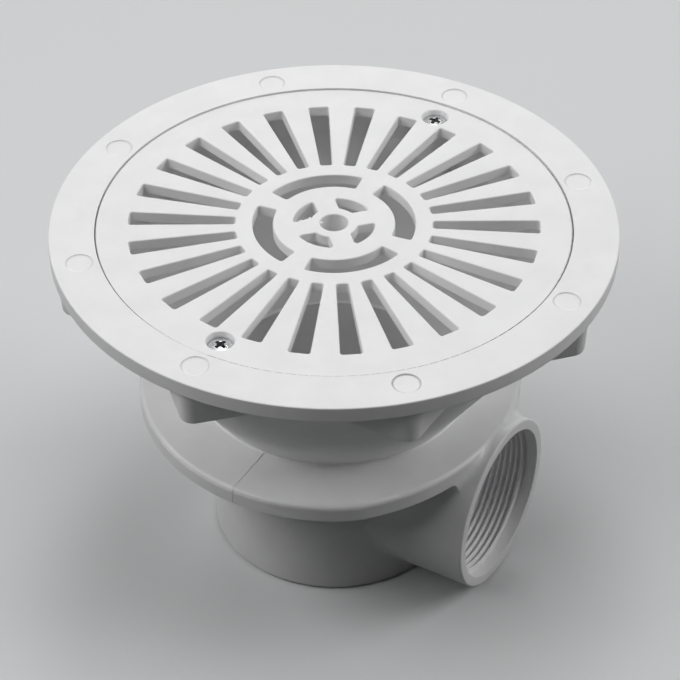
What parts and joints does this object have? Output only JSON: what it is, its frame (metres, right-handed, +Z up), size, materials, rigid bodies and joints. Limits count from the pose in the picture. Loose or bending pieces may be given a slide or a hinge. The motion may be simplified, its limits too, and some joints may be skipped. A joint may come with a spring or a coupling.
{
  "type": "pool main drain",
  "caption": "Round white plastic pool main drain: a flanged sump with a funnel neck, a water-stop collar and a threaded side outlet, under a slotted grate held by screws.",
  "frame": {"origin": "centre of the pot's flat underside", "axes": "+Z up, from the pot to the ring; +X out of the side outlet"},
  "size_m": [0.21, 0.21, 0.143],
  "materials": {
    "sump_abs": "moulded satin white ABS",
    "grate_abs": "moulded satin white ABS",
    "screw_steel": "cold-formed stainless steel",
    "insert_brass": "turned brass"
  },
  "bodies": {
    "root": {"sump_body": "sump_abs", "grate": "grate_abs", "grate_screws": "screw_steel", "screw_inserts": "insert_brass"}
  },
  "joints": []
}
